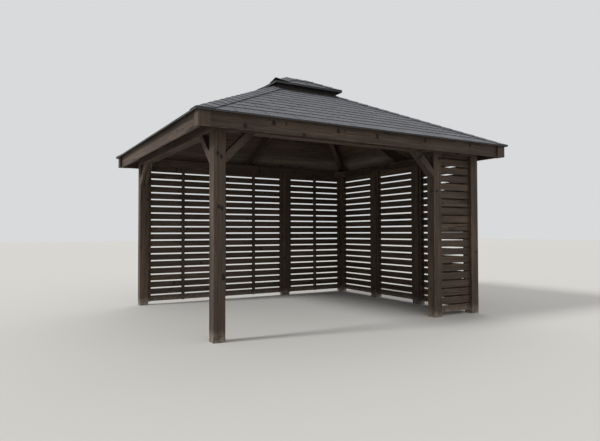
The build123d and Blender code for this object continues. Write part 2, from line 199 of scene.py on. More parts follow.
def stained_timber(name, strength=1.0, knots=(), squeeze=(2.0, 2.0, 1.7)):
    """Planed spruce with a dark walnut glaze.

    The glaze sinks into the pale earlywood and leaves the hard latewood darker, so the eye sees long
    soft bands, finer fibre streaks, dark round knots, a few drying cracks along the grain, and paler
    arrises where the glaze has rubbed thin. knots are the places of one timber's knots in the frame,
    and a larger squeeze makes them smaller. Without places, knots are scattered.
    """
    timber = bpy.context.scene.gazebo_timber
    stains = (timber.stain_dark, timber.stain_mid, timber.stain_light)
    dark, middle, light = ([c * strength for c in stain] for stain in stains)
    material, shader, add = new_material(name, 0.68, specular=0.3)
    grain = add("Attribute", attribute_name="grain").outputs["Vector"]
    tone = add("Attribute", attribute_name="tone").outputs["Fac"]
    worn = add("Attribute", attribute_name="worn").outputs["Fac"]
    place = add("NewGeometry")
    height = add("SeparateXYZ", (place,)).outputs["Z"]

    # Noise drawn out along the grain, given by its changes in a metre along and across it. The fibres
    # are streaks 5 mm wide and a third of a metre long, and a patch is where the glaze lies thicker
    noise = {}
    for pattern, stretch, detail in (
        ("wander", (0.9, 5, 5), 1),
        ("fibre", (3, 190, 190), 3),
        ("patch", (1.1, 7, 7), 3),
        ("split", (1.6, 55, 55), 0),
        ("dry", (1.3, 9, 9), 0),
    ):
        drawn = add("VectorMath", (grain, stretch), operation="MULTIPLY")
        noise[pattern] = add("TexNoise", (drawn, 1, detail))
    noise["rub"] = add("TexNoise", (place, 9, 3))
    noise["cloud"] = add("TexNoise", (place, 22, 5))

    # Scattered knots are cones that start at the pith, about one every 400 mm and 25 mm wide
    if knots:
        near = 1.0
    else:
        axis = add("SeparateXYZ", (grain,)).outputs
        angle = add("Math", (axis["Z"], axis["Y"]), operation="ARCTAN2")
        around = add("Math", (angle, 0.13), operation="MULTIPLY")
        unrolled = add("CombineXYZ", (axis["X"], around))
        near = add("TexVoronoi", (unrolled, 3.2), voronoi_dimensions="2D")
    for knot in knots:
        aside = add("VectorMath", (place, knot), operation="SUBTRACT")
        aside = add("VectorMath", (aside, squeeze), operation="MULTIPLY")
        away = add("VectorMath", (aside,), operation="LENGTH")
        near = add("Math", (near, away), operation="MINIMUM")
    swirl = add("MapRange", (near, 0.22, 0.02, 0, 0.012), interpolation_type="SMOOTHSTEP")

    # Growth rings are 2 to 4 mm apart, drawn at about three times that so that they show. Slow and fast
    # years bring them closer and wider apart, and make the latewood harder or softer
    across = add("VectorMath", (grain, (0, 1, 1)), operation="MULTIPLY")
    radius = add("VectorMath", (across,), operation="LENGTH")
    radius = add("Math", (noise["wander"], 0.05, radius), operation="MULTIPLY_ADD")
    radius = add("Math", (radius, swirl), operation="ADD")
    season = add("TexNoise", (radius, 38, 1), noise_dimensions="1D")
    radius = add("Math", (season, 0.045, radius), operation="MULTIPLY_ADD")
    ring = add("Math", (radius, 2 * math.pi / timber.ring_spacing), operation="MULTIPLY")
    ring = add("Math", (ring,), operation="SINE")
    ring = add("Math", (ring, 0.5, 0.5), operation="MULTIPLY_ADD")
    ring = add("Math", (ring, 3.0), operation="POWER")
    hard = add("MapRange", (season, 0.35, 0.62, 0.1, 1), interpolation_type="SMOOTHSTEP")
    ring = add("Math", (ring, hard), operation="MULTIPLY")
    pale = 0.0
    for pattern, weight in ((noise["fibre"], 0.75), (noise["patch"], 0.6), (ring, -0.3)):
        pale = add("Math", (pattern, weight, pale), operation="MULTIPLY_ADD")
    split = add("Math", (noise["split"], 0.5), operation="SUBTRACT")
    split = add("Math", (split,), operation="ABSOLUTE")

    # Share of each layer: where its pattern begins and is full, and its most there. Drying cracks are
    # thin lines a hand long that show only here and there, and the dust fades out at 140 mm
    share = {}
    for layer, pattern, begins, full, most in (
        ("middle", pale, 0.25, 0.62, 1.0),
        ("light", pale, 0.55, 0.95, 1.0),
        ("knot", near, 0.065, 0.025, 1.0),
        ("rub", noise["rub"], 0.42, 0.62, 0.7),
        ("crack", split, 0.012, 0.003, 1.0),
        ("dry", noise["dry"], 0.52, 0.62, 0.8),
        ("foot", height, 0.14, 0.0, 1.0),
    ):
        span = (pattern, begins, full, 0, most)
        share[layer] = add("MapRange", span, interpolation_type="SMOOTHSTEP")
    rub = add("Math", (share["rub"], worn), operation="MULTIPLY")
    crack = add("Math", (share["crack"], share["dry"]), operation="MULTIPLY")
    cloud = add("MapRange", (noise["cloud"], 0.35, 0.65, 0.15, 0.8))
    foot = add("Math", (share["foot"], cloud), operation="MULTIPLY")

    # The layers, then each board's own tone, because each took the glaze differently, then dust
    colour = dark
    for shows, layer in (
        (share["middle"], middle),
        (share["light"], light),
        (share["knot"], timber.knot),
        (rub, timber.worn_wood),
        (crack, linear("#120F0D")),
    ):
        colour = add("Mix", (shows, colour, layer), data_type="RGBA")
    colour = add("Mix", (1.0, colour, tone), data_type="RGBA", blend_type="MULTIPLY")
    colour = add("Mix", (foot, colour, timber.dust), data_type="RGBA")

    gloss = add("MapRange", (pale, 0.2, 0.9, 0.78, 0.58))
    relief = add("Math", (ring, 0.4, noise["fibre"]), operation="MULTIPLY_ADD")
    relief = add("Math", (crack, -2.5, relief), operation="MULTIPLY_ADD")
    bump = add("Bump", {"Strength": 0.5, "Distance": 0.0008, "Height": relief})
    set_inputs(shader, {"Base Color": colour, "Roughness": gloss, "Normal": bump})
    return material


def mineral_felt():
    """Bitumen felt with pressed slate granules: matt, speckled, each tab a slightly different grey."""
    roof = bpy.context.scene.gazebo_roof
    material, shader, add = new_material("mineral_felt_granules", 0.92)
    grain = add("Attribute", attribute_name="grain").outputs["Vector"]
    tone = add("Attribute", attribute_name="tone").outputs["Fac"]
    # Granules are 1 to 2 mm, drawn at 5 mm and again as 20 mm clusters so that they show
    speck = add("TexVoronoi", (grain, 200)).outputs["Color"]
    speck = add("SeparateColor", (speck,))
    cluster = add("TexNoise", (grain, 45, 4))
    cloud = add("TexNoise", (grain, 4, 2))
    level = 0.0
    for pattern, weight in ((speck, 0.42), (cluster, 0.48), (cloud, 0.14)):
        level = add("Math", (pattern, weight, level), operation="MULTIPLY_ADD")
    colour = roof.granules_dark
    for layer, begins, full in ((roof.granules_mid, 0.22, 0.55), (roof.granules_light, 0.55, 0.88)):
        share = add("MapRange", (level, begins, full), interpolation_type="SMOOTHSTEP")
        colour = add("Mix", (share, colour, layer), data_type="RGBA")
    colour = add("Mix", (1.0, colour, tone), data_type="RGBA", blend_type="MULTIPLY")
    # Painted shade under the step of the next course: the granules darken towards the felt edge colour over
    # the last 16 mm of the exposure
    below = add("SeparateXYZ", (grain,)).outputs["Y"]
    painted_shade = add("MapRange", (below, -0.016, 0, 0, 0.75), interpolation_type="SMOOTHSTEP")
    colour = add("Mix", (painted_shade, colour, roof.felt), data_type="RGBA")
    bump = add("Bump", {"Strength": 0.6, "Distance": 0.0015, "Height": level})
    set_inputs(shader, {"Base Color": colour, "Normal": bump})
    return material


def mottled(name, roughness, scale, detail, colours, metallic=0.0):
    """A finish with spots of two colours. scale is how many of them a metre holds."""
    material, shader, add = new_material(name, roughness, metallic=metallic)
    spots = add("TexNoise", (add("NewGeometry"), scale, detail))
    colour = add("Mix", (spots, *colours), data_type="RGBA")
    set_inputs(shader, {"Base Color": colour})
    return material


def felt_edge():
    """Cut edge of the felt: black bitumen without granules, mottled every 17 mm, slightly shiny."""
    felt = bpy.context.scene.gazebo_roof.felt
    return mottled("bitumen_felt_cut_edge", 0.6, 60, 3, (felt, [c * 2.2 for c in felt]))


def coated_steel():
    """Folded sheet steel with a graphite polyester coat: even and satin, a little dust every 70 mm."""
    steel = bpy.context.scene.gazebo_roof.steel
    material, shader, add = new_material("polyester_coated_steel", 0.42)
    dust = add("TexNoise", (add("NewGeometry"), 14, 5))
    dust = add("MapRange", (dust, 0.45, 0.8, 0, 0.35), interpolation_type="SMOOTHSTEP")
    colour = add("Mix", (dust, steel, linear("#4A4A4B")), data_type="RGBA")
    rough = add("MapRange", (dust, 0, 1, 0.38, 0.9))
    set_inputs(shader, {"Base Color": colour, "Roughness": rough})
    return material


def zinc_screw():
    """Zinc plated steel that has browned outdoors: dull metal, darker in spots of 3 mm."""
    zinc = bpy.context.scene.gazebo_panels.zinc
    return mottled("browned_zinc_screw", 0.45, 300, 2, (zinc, linear("#3B2F26")), metallic=0.9)


def front_fascia_timber():
    """The glazed spruce of the front fascia, with its row of knots about half a metre apart.

    Each spot is a place along the front and a drop from the top of the board.
    """
    low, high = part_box("fascia_front")
    spots = {-1.57: 0.144, -1.27: 0.085, -0.93: 0.180, -0.52: 0.091, -0.01: 0.097, 0.69: 0.081, 1.43: 0.078}
    knots = [(x, low.y, high.z - drop) for x, drop in spots.items()]
    return stained_timber("glazed_spruce_with_knots", 1.0, knots)


def corner_post_timber():
    """The glazed spruce of the front left post, with three pairs of small knots on its front.

    Each spot is a distance from the post's left edge and a height over the ground.
    """
    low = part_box("post_front_left")[0]
    spots = ((0.041, 1.788), (0.074, 1.758), (0.052, 1.283), (0.083, 1.268), (0.098, 0.630), (0.098, 0.604))
    knots = [(low.x + aside, low.y, height) for aside, height in spots]
    return stained_timber("glazed_spruce_with_whorls", 1.0, knots, (2.7, 2.7, 1.9))


FINISHES = {
    "timber": lambda: stained_timber("glazed_spruce"),
    "fascia": front_fascia_timber,
    "corner post": corner_post_timber,
    # The neck and the cap's boards: the same glaze darkened to a fifth, as painted shade under the cap
    "cap timber": lambda: stained_timber("twice_glazed_spruce", 0.2),
    "granules": mineral_felt,
    "felt": felt_edge,
    "steel": coated_steel,
    "screw": zinc_screw,
}


@functools.cache
def finish_of(name):
    """The material of that finish, made once."""
    return FINISHES[name]()


# Joinery

# Corners closer than this are one corner
HAIR = 2e-5


class Piece:
    """Collects the boards or tabs of one piece, with grain coordinates and a tone for each."""

    def __init__(self, name):
        self.name = name
        self.random = random.Random(name)
        self.points, self.grain, self.tone = [], [], []
        self.faces, self.slots, self.worn = [], [], []

    def add(self, points, faces, grain, tone, slots, worn=None):
        """Adds one part: points, faces, a grain coordinate a point, and a slot and wear a face."""
        start = len(self.points)
        self.points.extend(points)
        self.grain.extend(grain)
        self.tone.extend([tone] * len(points))
        self.faces.extend([tuple(start + i for i in face) for face in faces])
        self.slots.extend(slots)
        self.worn.extend(worn or [0.0] * len(faces))

    def new_tone(self, spread):
        """Brightness of one board or tab against the others."""
        return 1 + self.random.uniform(-spread, spread)

    def add_timber(self, solid, along, arris):
        """Adds a closed bmesh with rounded arrises, whose grain runs along the given direction.

        The middle of each board lies 90 to 170 mm from the pith, at its own place in a tree.
        """
        # Radians, so edges that turn by more than 20 degrees are rounded
        sharp = 0.35
        solid.normal_update()
        edges = [e for e in solid.edges if e.is_manifold and abs(e.calc_face_angle(0)) > sharp]
        rounded = bmesh.ops.bevel(
            solid, geom=edges, offset=arris, segments=2, profile=0.5, affect="EDGES", clamp_overlap=True
        )
        rounded = set(rounded["faces"])
        bmesh.ops.dissolve_degenerate(solid, dist=HAIR, edges=solid.edges)
        solid.verts.index_update()
        along = along.normalized()
        across = along.cross(UP)
        across = across.normalized() if across.length > 0.1 else Vector((1, 0, 0))
        third = along.cross(across)
        middle = sum((v.co for v in solid.verts), Vector()) / len(solid.verts)
        turn = self.random.uniform(0, 2 * math.pi)
        away = self.random.uniform(0.09, 0.17)
        pith = Vector((self.random.uniform(0, 40), away * math.cos(turn), away * math.sin(turn)))
        points = [v.co.copy() for v in solid.verts]
        grain = [Vector([(p - middle).dot(axis) for axis in (along, across, third)]) + pith for p in points]
        faces = [[v.index for v in f.verts] for f in solid.faces]
        worn = [1.0 if f in rounded else 0.0 for f in solid.faces]
        self.add(points, faces, grain, self.new_tone(0.16), [0] * len(faces), worn)
        solid.free()

    def finish(self, finishes, nodes, slot=None):
        """Makes the object, hangs it on the root, and hides the CAD nodes it stands for."""
        mesh = bpy.data.meshes.new(self.name)
        mesh.from_pydata([tuple(p) for p in self.points], [], self.faces)
        mesh.polygons.foreach_set("material_index", self.slots)
        grain = mesh.attributes.new("grain", "FLOAT_VECTOR", "POINT")
        grain.data.foreach_set("vector", [c for g in self.grain for c in g])
        mesh.attributes.new("tone", "FLOAT", "POINT").data.foreach_set("value", self.tone)
        mesh.attributes.new("worn", "FLOAT", "FACE").data.foreach_set("value", self.worn)
        whole = bmesh.new()
        whole.from_mesh(mesh)
        bmesh.ops.recalc_face_normals(whole, faces=whole.faces)
        whole.to_mesh(mesh)
        whole.free()
        for finish in finishes:
            mesh.materials.append(finish_of(finish))
        mesh.update()
        piece = bpy.data.objects.new(self.name, mesh)
        bpy.context.scene.collection.objects.link(piece)
        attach(piece, "root")
        if nodes:
            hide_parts(*nodes)
        slot or SLOT_OF_NODE[nodes[0]]


def board(place, size, cuts=()):
    """A board as a bmesh. place has X along the grain, and size is length, width and thickness.

    Each cut is a point and an outward normal in the frame, and what lies beyond it is sawn off.
    """
    solid = bmesh.new()
    bmesh.ops.create_cube(solid, size=1.0, matrix=place @ Matrix.Diagonal((*size, 1)))
    for point, normal in cuts:
        saw(solid, point, normal)
    return solid


def saw(solid, point, normal):
    """Cuts off what lies beyond a plane and closes the cut."""
    geometry = solid.verts[:] + solid.edges[:] + solid.faces[:]
    cut = bmesh.ops.bisect_plane(
        solid, geom=geometry, plane_co=point, plane_no=normal, clear_outer=True, dist=1e-6
    )
    rim = [e for e in cut["geom_cut"] if isinstance(e, bmesh.types.BMEdge)]
    if rim:
        bmesh.ops.holes_fill(solid, edges=rim, sides=0)
        bmesh.ops.remove_doubles(solid, verts=solid.verts, dist=HAIR)


def axes_at(middle, along, face):
    """Matrix with X along the grain and Z out of the board's face, at the board's middle."""
    x = Vector(along).normalized()
    z = Vector(face)
    z = (z - x * z.dot(x)).normalized()
    matrix = Matrix((x, z.cross(x), z)).transposed().to_4x4()
    matrix.translation = Vector(middle)
    return matrix


def frame_solids(node):
    """The separate solids of a CAD node, as bmeshes with flat faces.

    Corners less than a millimetre apart become one, so that the arrises there can be rounded.
    """
    whole = bmesh.new()
    whole.from_mesh(frame["nodes"][node].data)
    bmesh.ops.remove_doubles(whole, verts=whole.verts, dist=0.001)
    bmesh.ops.dissolve_limit(whole, angle_limit=math.radians(1), verts=whole.verts, edges=whole.edges)
    left = list(whole.verts)
    solids = []
    while left:
        group = set()
        reach = [left[0]]
        while reach:
            vert = reach.pop()
            if vert not in group:
                group.add(vert)
                reach.extend(e.other_vert(vert) for e in vert.link_edges)
        solid = bmesh.new()
        made = {v: solid.verts.new(v.co) for v in left if v in group}
        for face in whole.faces:
            if face.verts[0] in group:
                solid.faces.new([made[v] for v in face.verts])
        solids.append(solid)
        left = [v for v in left if v not in group]
    whole.free()
    return solids


def dress_timbers(node, along=None, finish="timber", ending="_timber"):
    """Gives the solids of a CAD node rounded arrises and grain along each timber."""
    arris = bpy.context.scene.gazebo_timber.arris
    piece = Piece(node + ending)
    for solid in frame_solids(node):
        edge = max(solid.edges, key=lambda e: e.calc_length())
        direction = Vector(along) if along else edge.verts[1].co - edge.verts[0].co
        piece.add_timber(solid, direction, arris)
    piece.finish([finish], [node])


def add_screw(piece, place, normal, radius):
    """Countersunk screw head with a shallow cone for its drive, in the second finish."""
    turn = axes_at(place, (normal[1], normal[2], normal[0]), normal)
    sides = 8
    points = [turn @ Vector((0, 0, -0.0012))]
    for share, height in ((0.35, 0.0004), (0.45, 0.001), (1.0, 0.0008), (1.0, -0.002)):
        for k in range(sides):
            angle = 2 * math.pi * k / sides
            ring = Vector((radius * share * math.cos(angle), radius * share * math.sin(angle), height))
            points.append(turn @ ring)
    faces = []
    for k in range(sides):
        near, far = 1 + k, 1 + (k + 1) % sides
        faces.append((0, near, far))
        for inner in range(0, 3 * sides, sides):
            outer = inner + sides
            faces.append((near + inner, near + outer, far + outer, far + inner))
    faces.append(tuple(1 + 3 * sides + k for k in reversed(range(sides))))
    piece.add(points, faces, [Vector()] * len(points), 1.0, [1] * len(faces))


# Roof


class Slope:
    """One slope of a hip roof. u runs along the eaves, s up the slope and h out of it."""

    def __init__(self, side, half_x, half_y, edge_height):
        self.outward = Vector((*SIDES[side], 0))
        on_end = self.outward.y == 0
        self.half_width = half_y if on_end else half_x
        self.run = min(half_x, half_y)
        self.length = self.run / RUN_SHARE
        self.up = (UP * RISE - self.outward).normalized()
        self.along = UP.cross(self.outward)
        self.normal = self.along.cross(self.up)
        self.origin = self.outward * (half_x if on_end else half_y) + UP * edge_height

    def at(self, u, s, h):
        """Point in the frame."""
        return self.origin + self.along * u + self.up * s + self.normal * h

    def trim(self, polygon):
        """Polygon of (u, s) corners trimmed at both hips and at the ridge."""
        hip = (RUN_SHARE, self.half_width)
        for a, b, c in ((1, *hip), (-1, *hip), (0, 1, self.length)):
            kept = []
            for i, (u, s) in enumerate(polygon):
                v, t = polygon[i - 1]
                inside = a * u + b * s <= c
                if inside != (a * v + b * t <= c):
                    share = (c - a * v - b * t) / (a * (u - v) + b * (s - t))
                    kept.append((v + (u - v) * share, t + (s - t) * share))
                if inside:
                    kept.append((u, s))
            polygon = kept
        return polygon

    def board_cuts(self, inset):
        """Upright saw cuts for the roof boards, along the eaves, the ridge and both hips."""
        cuts = [(self.at(0, inset, 0), self.outward), (self.at(0, self.length, 0), -self.outward)]
        for way in (-1, 1):
            corner = self.at(way * self.half_width, 0, 0)
            cuts.append((corner, (self.along * way - self.outward).normalized()))
        return cuts


def roof_slopes(node_x, node_y, lift=0.0):
    """The four slopes of a roof whose outer surface is that of the given CAD nodes."""
    half_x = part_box(node_x)[1].x
    half_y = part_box(node_y)[1].y
    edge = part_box(node_y)[1].z - RISE * half_y + lift
    return {side: Slope(side, half_x, half_y, edge) for side in SIDES}


def board_slopes(node_x, node_y, boards):
    """The slopes of the boards under the shingles of two nodes, with the boards' inset and thickness."""
    eave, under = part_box(node_x)[1].x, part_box(node_x)[0].z
    low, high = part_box(boards)
    inset = eave - high.x
    thickness = (under + RISE * inset - low.z) * RUN_SHARE
    lift = under - roof_slopes(node_x, node_y)["front"].origin.z
    return roof_slopes(node_x, node_y, lift), inset / RUN_SHARE, thickness


def add_sheet(piece, slope, polygon, low_top, high_top, bottom, tone, next_course):
    """A closed sheet over a polygon on a slope, whose top leans from its first corner to its third.

    A sliver under 10 square millimetres that the trim leaves is skipped.
    """
    sliver = 1e-5
    start, end = polygon[0][1], polygon[2][1]
    polygon = slope.trim(polygon)
    area = sum(u * t - v * s for (u, s), (v, t) in zip(polygon[-1:] + polygon, polygon))
    if abs(area) < 2 * sliver:
        return
    if area < 0:
        polygon.reverse()
    count = len(polygon)
    lean = (high_top - low_top) / (end - start)
    salt = piece.random.uniform(0, 50)
    points = [slope.at(u, s, low_top + lean * (s - start)) for u, s in polygon]
    points += [slope.at(u, s, bottom) for u, s in polygon]
    grain = [Vector((u + salt, s - next_course, salt)) for u, s in polygon] * 2
    faces = [tuple(range(count)), tuple(reversed(range(count, 2 * count)))]
    for i in range(count):
        j = (i + 1) % count
        faces.append((i, i + count, j + count, j))
    piece.add(points, faces, grain, tone, [0, 1] + [1] * count)


def lay_shingles(piece, slope, depth, first_course):
    """Courses of felt tabs from the eaves to the ridge, shifted half a tab from course to course."""
    roof = bpy.context.scene.gazebo_roof
    far, setback, off_boards = 9, 0.004, 0.0003
    under_tabs = -roof.step - 0.0006
    underlay = [(-far, setback), (far, setback), (far, far), (-far, far)]
    add_sheet(piece, slope, underlay, under_tabs, under_tabs, off_boards - depth, tone=0.6, next_course=99)
    start = 0.0
    course = 0
    while start < slope.length:
        rise = roof.exposure if course else first_course
        shift = (course % 2) * roof.tab_width / 2 + piece.random.uniform(-0.006, 0.006)
        columns = math.ceil(slope.half_width / roof.tab_width) + 1
        for column in range(-columns, columns + 1):
            left = column * roof.tab_width + shift + roof.slot_width / 2
            right = left + roof.tab_width - roof.slot_width
            lift = piece.random.uniform(0.0, 0.0012)
            low = start + piece.random.uniform(-0.001, 0.001) if course else start
            tab = [(left, low), (right, low), (right, start + rise), (left, start + rise)]
            tone = piece.new_tone(0.10)
            add_sheet(piece, slope, tab, lift, -roof.step, -roof.step - 0.0010, tone, start + rise)
        start += rise
        course += 1


class Fold:
    """A hip or a ridge: its low end, its direction, and the slope to each side."""

    def __init__(self, corner, along, slopes):
        self.corner = corner
        self.along = along.normalized()
        self.wings = []
        for slope in slopes:
            down = slope.normal.cross(self.along)
            self.wings.append((down if down.z < 0 else -down, slope.normal))
        if self.wings[0][0].cross(self.along).dot(self.wings[0][1]) > 0:
            self.wings.reverse()
        self.middle = (self.wings[0][1] + self.wings[1][1]).normalized()
        self.spread = 1 / self.middle.dot(self.wings[0][1])


def hip_fold(slopes, pair):
    """The hip between two slopes."""
    first, second = (slopes[side] for side in pair)
    corner = first.origin + second.origin
    corner.z = first.origin.z
    return Fold(corner, UP * RISE - (first.outward + second.outward), (first, second))


def add_folded(piece, fold, start, end, top, low, high, wing, skew, curl, outside):
    """One shingle folded over a hip or a ridge. low and high are its heights at both ends.

    It shows from start to end and reaches to top, under the next. skew cuts the low end level with the
    eaves. What lies inside the box outside is trimmed off, and on a hip what lies beyond the middle.
    """
    # The bend is rounded over 12 mm to each side, which lowers its middle, and clear is the gap under it
    bend, lowered, clear = 0.012, 0.0015, 0.0004
    columns = [(0, wing), (0, wing / 2), (0, bend), (0, 0), (1, bend), (1, wing / 2), (1, wing)]
    solid = bmesh.new()
    grid = []
    rows = ((start, low, curl), (start, clear, curl), (top, high, 0), (top, clear, 0))
    for distance, height, rise in rows:
        row = []
        for side, aside in columns:
            down, normal = fold.wings[side]
            spot = fold.corner + fold.along * (distance + aside * skew * (distance == start))
            if aside:
                spot += down * aside
                spot += normal * (height + rise * (1 - aside / wing) ** 1.5)
            else:
                spot += fold.middle * ((height + rise) * fold.spread - lowered)
            row.append(solid.verts.new(spot))
        grid.append(row)
    top_low, under_low, top_high, under_high = grid
    skins = (
        (top_low, top_high, 0),
        (under_low, under_high, 1),
        (under_low, top_low, 0),
        (under_high, top_high, 1),
    )
    for c in range(len(columns) - 1):
        for near, far, turned in skins:
            a, b = c + turned, c + 1 - turned
            face = solid.faces.new((near[a], near[b], far[b], far[a]))
            face.material_index = 0 if near is top_low else 1
    solid.faces.new((under_low[0], top_low[0], top_high[0], under_high[0])).material_index = 1
    solid.faces.new((top_low[-1], under_low[-1], under_high[-1], top_high[-1])).material_index = 1
    tone = piece.new_tone(0.10)
    salt = piece.random.uniform(0, 50)
    parts = [solid]
    sign_x, sign_y = math.copysign(1, fold.corner.x), math.copysign(1, fold.corner.y)
    if fold.corner.y:
        saw(solid, (0, 0, 0), (0, -sign_y, 0))
    if outside:
        side = solid.copy()
        saw(solid, (sign_x * outside[0], 0, 0), (-sign_x, 0, 0))
        saw(side, (sign_x * outside[0], 0, 0), (sign_x, 0, 0))
        saw(side, (0, sign_y * outside[1], 0), (0, -sign_y, 0))
        parts.append(side)
    for part in parts:
        part.verts.index_update()
        points = [v.co.copy() for v in part.verts]
        grain = []
        for point in points:
            away = point - fold.corner
            reach = away.dot(fold.along)
            sideways = away.dot(fold.wings[0][0] - fold.wings[1][0]) / 2
            grain.append(Vector((sideways + salt, reach - end, salt)))
        faces = [[v.index for v in f.verts] for f in part.faces]
        piece.add(points, faces, grain, tone, [f.material_index for f in part.faces])
        part.free()


def lay_folded(piece, fold, stop, at_eaves=True, curl=0.0, outside=None):
    """Folded shingles from the low end up, each lapping the one below it."""
    roof = bpy.context.scene.gazebo_roof
    felt, lap, shortest = 0.0035, 0.02, 0.01
    skew = RUN_SHARE if at_eaves else 0.0
    start = 0.0
    while start < stop - shortest:
        end = min(start + roof.exposure, stop)
        top = min(end + lap, stop)
        low = roof.step + felt + piece.random.uniform(0.0, 0.0015)
        add_folded(piece, fold, start, end, top, low, felt, roof.wing, skew, curl, outside)
        start = end
        skew = curl = 0.0


def lay_boards(piece, slope, inset, thickness):
    """Level roof boards with V joints, from the eaves to the ridge. Their tops are the slope's surface.

    The last board takes what is left where that would be too narrow for a board of its own.
    """
    face = bpy.context.scene.gazebo_roof.board_face
    arris = bpy.context.scene.gazebo_timber.arris
    narrowest, joint, spare = 0.03, 0.0008, 0.1
    cuts = slope.board_cuts(inset)
    start = inset - thickness * RISE - 0.003
    while start < slope.length:
        left = slope.length - start
        width = face if left > face + narrowest else left
        middle = slope.at(0, start + width / 2, -thickness / 2)
        reach = 2 * (slope.half_width - start * RUN_SHARE) + spare
        size = (reach, width - joint, thickness)
        solid = board(axes_at(middle, slope.along, slope.normal), size, cuts)
        if solid.faces:
            piece.add_timber(solid, slope.along, arris)
        start += width


def make_drip_edge(name, slopes, under, reach, lip):
    """A strip of folded steel round the eaves, mitred at the corners.

    It reaches in under the shingles, whose lower edge is at the height under, and turns down in a lip.
    """
    # Corners of the section, by their distance in from the edge of the roof and their height
    profile = [
        (reach, under + RISE * reach),
        (reach, under + RISE * reach + 0.001),
        (0.003, under + RISE * 0.003 + 0.001),
        (0.002, under - lip),
        (0.0032, under - lip),
        (0.0042, under + RISE * 0.0042),
    ]
    half_x, half_y = slopes["right"].origin.x, slopes["back"].origin.y
    count = len(profile)
    points = []
    for sign_x, sign_y in ((-1, -1), (1, -1), (1, 1), (-1, 1)):
        points += [Vector((sign_x * (half_x - d), sign_y * (half_y - d), z)) for d, z in profile]
    faces = []
    for corner in range(4):
        near, far = corner * count, (corner + 1) % 4 * count
        for i in range(count):
            j = (i + 1) % count
            faces.append((near + i, far + i, far + j, near + j))
    piece = Piece(name)
    piece.add(points, faces, [Vector()] * len(points), 1.0, [0] * len(faces))
    piece.finish(["steel"], [], "shingles")


# Operators


class GAZEBO_OT_posts(bpy.types.Operator):
    """Nine square posts with rounded arrises"""

    bl_idname = "gazebo.posts"
    bl_label = "Posts"

    def execute(self, context):
        for node in nodes_of("post_"):
            dress_timbers(node, UP, "corner post" if node == "post_front_left" else "timber")
        return {"FINISHED"}


class GAZEBO_OT_plates(bpy.types.Operator):
    """Wall plates and the corner blocks that tie them"""

    bl_idname = "gazebo.plates"
    bl_label = "Wall plates"

    def execute(self, context):
        for node in nodes_of("plate_", "corner_blocks"):
            dress_timbers(node)
        return {"FINISHED"}


class GAZEBO_OT_braces(bpy.types.Operator):
    """Knee braces at 45 degrees"""

    bl_idname = "gazebo.braces"
    bl_label = "Knee braces"

    def execute(self, context):
        dress_timbers("knee_braces")
        return {"FINISHED"}


class GAZEBO_OT_panels(bpy.types.Operator):
    """Slatted panels: slats screwed to upright battens"""

    bl_idname = "gazebo.panels"
    bl_label = "Slatted panels"

    def execute(self, context):
        for node in nodes_of("panel_"):
            self.build(node, context.scene.gazebo_panels, context.scene.gazebo_timber.arris)
        return {"FINISHED"}

    def build(self, node, panel, arris):
        low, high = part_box(node)
        middle = (low + high) / 2
        size = high - low
        if size.x > size.y:
            along, outward = Vector((1, 0, 0)), Vector((0, math.copysign(1, middle.y), 0))
        else:
            along, outward = Vector((0, 1, 0)), Vector((math.copysign(1, middle.x), 0, 0))
        width = size.dot(along)
        depth = abs(size.dot(outward))
        face = middle + outward * depth / 2
        pitch = (size.z - panel.slat_height) / (panel.slats - 1)
        if "return" in node:
            pitch = panel.slat_height + panel.return_gap
        end = (width - panel.batten_width) / 2
        battens = (-end, end, 0.0) if "back" in node else (-end, end)
        screw_share = 0.275
        piece = Piece(node + "_slats")
        for row in range(panel.slats):
            bottom = low.z + row * pitch
            ripped = min(panel.slat_height, high.z - bottom)
            height = bottom + ripped / 2
            place = face - outward * panel.slat_thickness / 2
            place.z = height + piece.random.uniform(-0.0006, 0.0006)
            lean = UP * piece.random.uniform(-0.0005, 0.0005)
            slat = board(axes_at(place, along + lean, outward), (width, ripped, panel.slat_thickness))
            piece.add_timber(slat, along, arris)
            for batten in battens:
                for share in (-screw_share, screw_share):
                    spot = face + along * (batten + piece.random.uniform(-0.003, 0.003))
                    spot.z = height + share * ripped
                    add_screw(piece, spot, outward, panel.screw_radius)
        upright = (size.z, panel.batten_width, depth - panel.slat_thickness)
        for batten in battens:
            place = middle - outward * panel.slat_thickness / 2 + along * batten
            piece.add_timber(board(axes_at(place, UP, outward), upright), UP, arris)
        piece.finish(["timber", "screw"], [node])


class GAZEBO_OT_roof_frame(bpy.types.Operator):
    """Hip rafters, common rafters, hubs and the ridge board"""

    bl_idname = "gazebo.roof_frame"
    bl_label = "Roof frame"

    def execute(self, context):
        dress_timbers("hip_rafters")
        dress_timbers("common_rafters")
        dress_timbers("ridge_board", (1, 0, 0))
        dress_timbers("ridge_hubs", UP)
        return {"FINISHED"}


class GAZEBO_OT_roof_boards(bpy.types.Operator):
    """Tongued boards with V joints, laid level across the rafters"""

    bl_idname = "gazebo.roof_boards"
    bl_label = "Roof boards"

    def execute(self, context):
        slopes, inset, thickness = board_slopes("shingles_right", "shingles_back", "roof_boards_right")
        for side, slope in slopes.items():
            node = "roof_boards_" + side
            piece = Piece(node + "_boards")
            lay_boards(piece, slope, inset, thickness)
            piece.finish(["timber"], [node])
        return {"FINISHED"}


class GAZEBO_OT_eaves(bpy.types.Operator):
    """Fascia boards and the trims wrapped round their corners"""

    bl_idname = "gazebo.eaves"
    bl_label = "Eaves"

    def execute(self, context):
        for node in nodes_of("fascia_"):
            dress_timbers(node, None, "fascia" if "front" in node else "timber", "_board")
        dress_timbers("corner_trims", UP, ending="_board")
        return {"FINISHED"}


